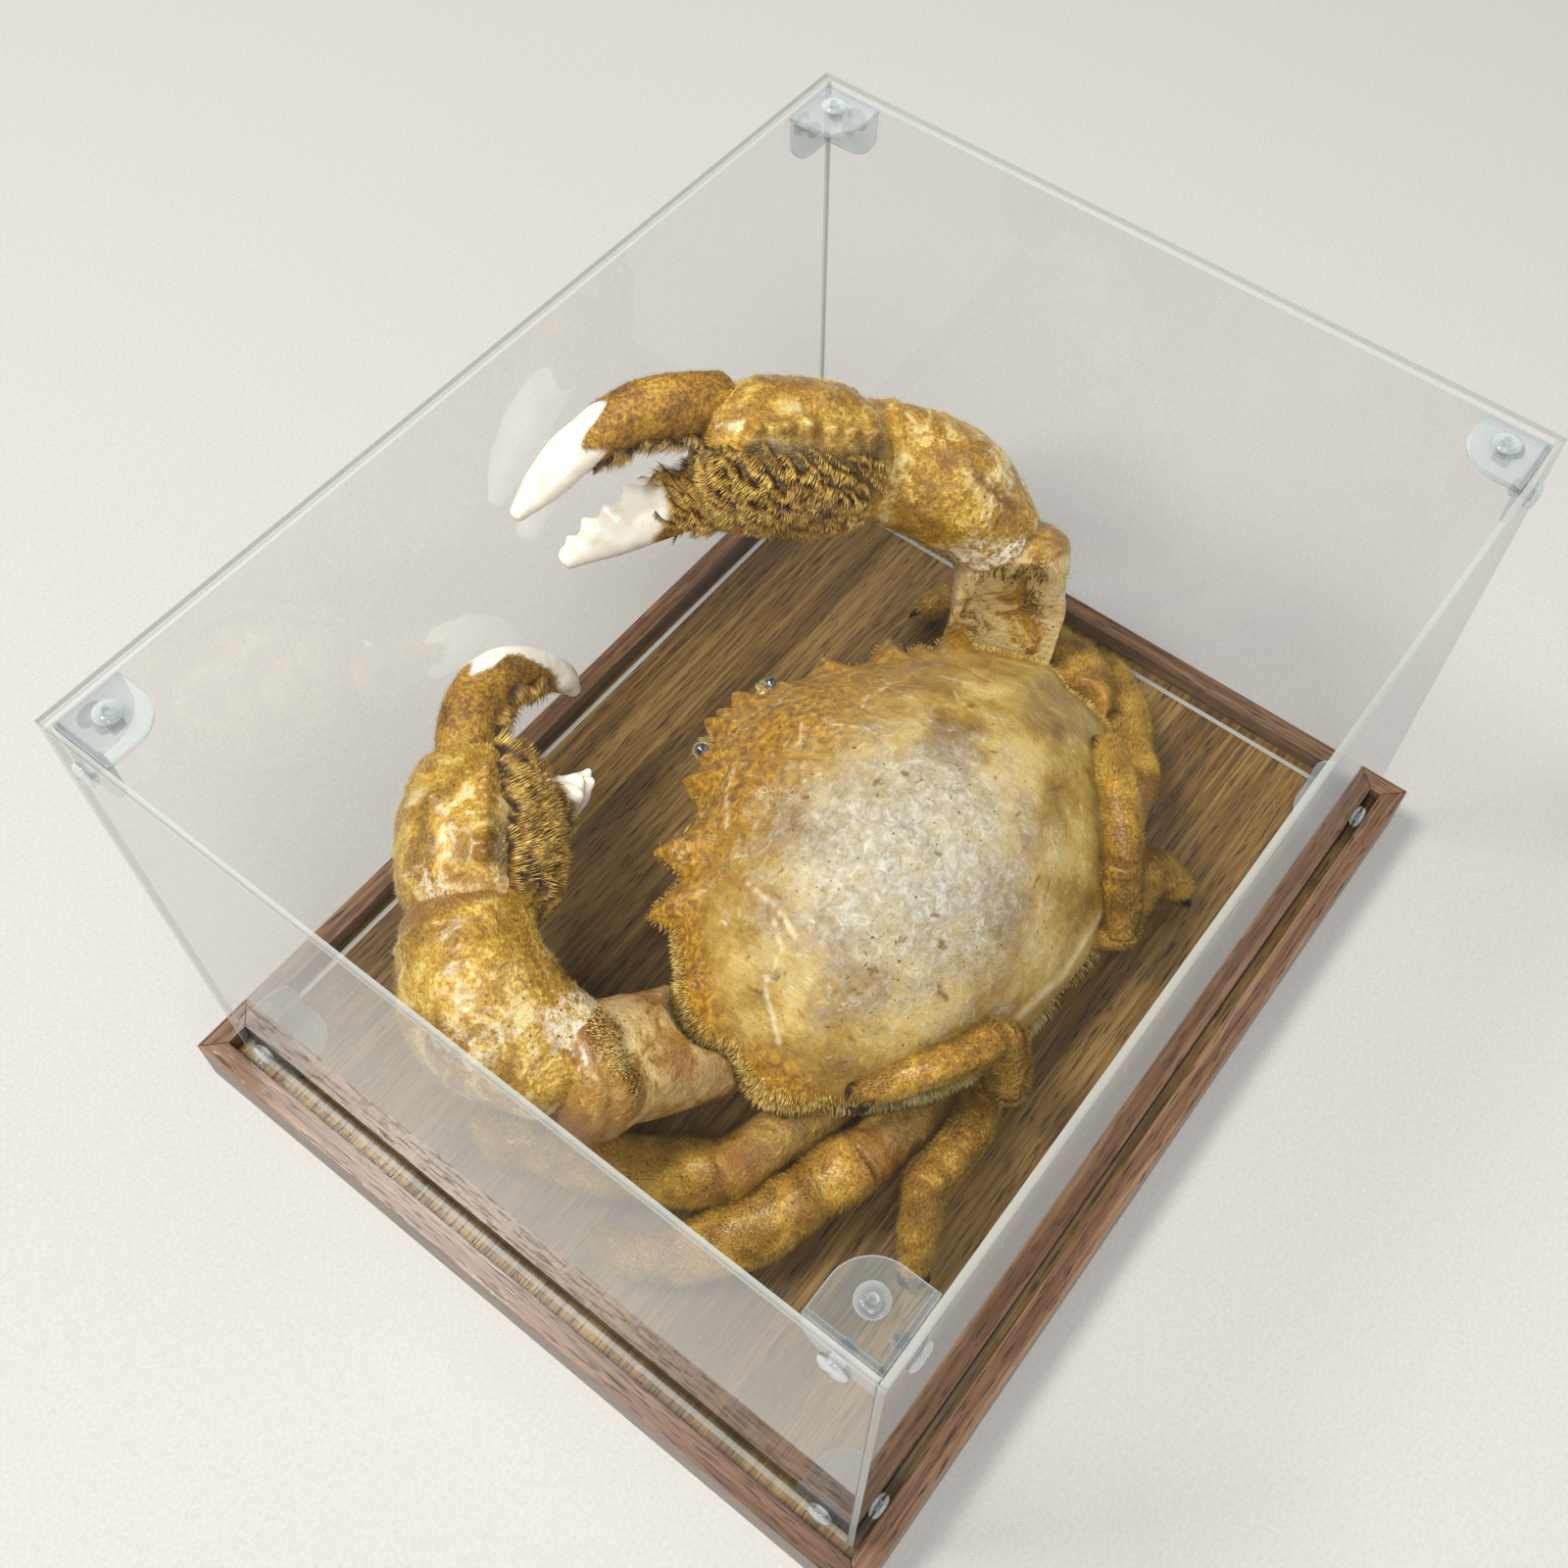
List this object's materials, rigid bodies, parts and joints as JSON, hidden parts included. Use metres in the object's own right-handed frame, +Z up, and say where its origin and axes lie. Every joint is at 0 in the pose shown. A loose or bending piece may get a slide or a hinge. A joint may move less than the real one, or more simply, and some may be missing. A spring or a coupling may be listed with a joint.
{
  "type": "mounted crab specimen in display case",
  "caption": "Dried sponge crab with raised claws, fixed life-size on a wooden tray under a clear rectangular display case.",
  "frame": {"origin": "middle of the underside of the tray", "axes": "+Z up, +X along the case's long side towards the crab's left, the crab faces -Y"},
  "size_m": [0.2656, 0.2144, 0.1692],
  "materials": {
    "walnut_veneer": "satin walnut-grained sheet",
    "stained_rail": "stained, satin varnish",
    "clear_sheet": "clear, polished edges",
    "clear_fitting": "clear, moulded",
    "golden_shell": "dried shell, worn satin",
    "golden_velvet": "short velvety down",
    "pale_underside": "dried bare shell",
    "matted_hair": "dried matted hair",
    "ivory_finger": "smooth, semi-gloss",
    "grey_cornea": "glossy"
  },
  "bodies": {
    "root": {"abdomen": "pale_underside", "antenna_left": "golden_velvet", "antenna_right": "golden_velvet", "carapace": "golden_shell", "case_lid": "clear_sheet", "case_wall_front": "clear_sheet", "case_wall_left": "clear_sheet", "case_wall_rear": "clear_sheet", "case_wall_right": "clear_sheet", "claw_left_carpus": "golden_velvet", "claw_left_dactylus": "ivory_finger", "claw_left_merus": "pale_underside", "claw_left_palm": "matted_hair", "claw_right_carpus": "golden_velvet", "claw_right_dactylus": "ivory_finger", "claw_right_merus": "pale_underside", "claw_right_palm": "matted_hair", "eye_left": "grey_cornea", "eye_right": "grey_cornea", "fitting_bottom_front_left": "clear_fitting", "fitting_bottom_front_right": "clear_fitting", "fitting_bottom_rear_left": "clear_fitting", "fitting_bottom_rear_right": "clear_fitting", "fitting_top_front_left": "clear_fitting", "fitting_top_front_right": "clear_fitting", "fitting_top_rear_left": "clear_fitting", "fitting_top_rear_right": "clear_fitting", "leg2_left_carpus": "golden_velvet", "leg2_left_dactylus": "golden_velvet", "leg2_left_merus": "pale_underside", "leg2_left_propodus": "golden_velvet", "leg2_right_carpus": "golden_velvet", "leg2_right_dactylus": "golden_velvet", "leg2_right_merus": "pale_underside", "leg2_right_propodus": "golden_velvet", "leg3_left_carpus": "golden_velvet", "leg3_left_dactylus": "golden_velvet", "leg3_left_merus": "pale_underside", "leg3_left_propodus": "golden_velvet", "leg3_right_carpus": "golden_velvet", "leg3_right_dactylus": "golden_velvet", "leg3_right_merus": "pale_underside", "leg3_right_propodus": "golden_velvet", "leg4_left_foot": "golden_velvet", "leg4_left_merus": "golden_velvet", "leg4_right_foot": "golden_velvet", "leg4_right_merus": "golden_velvet", "leg5_left_foot": "golden_velvet", "leg5_left_merus": "golden_velvet", "leg5_right_foot": "golden_velvet", "leg5_right_merus": "golden_velvet", "maxilliped_left": "golden_velvet", "maxilliped_right": "golden_velvet", "thorax": "pale_underside", "tray_board": "walnut_veneer", "tray_rail_front": "stained_rail", "tray_rail_left": "stained_rail", "tray_rail_rear": "stained_rail", "tray_rail_right": "stained_rail"}
  },
  "joints": []
}
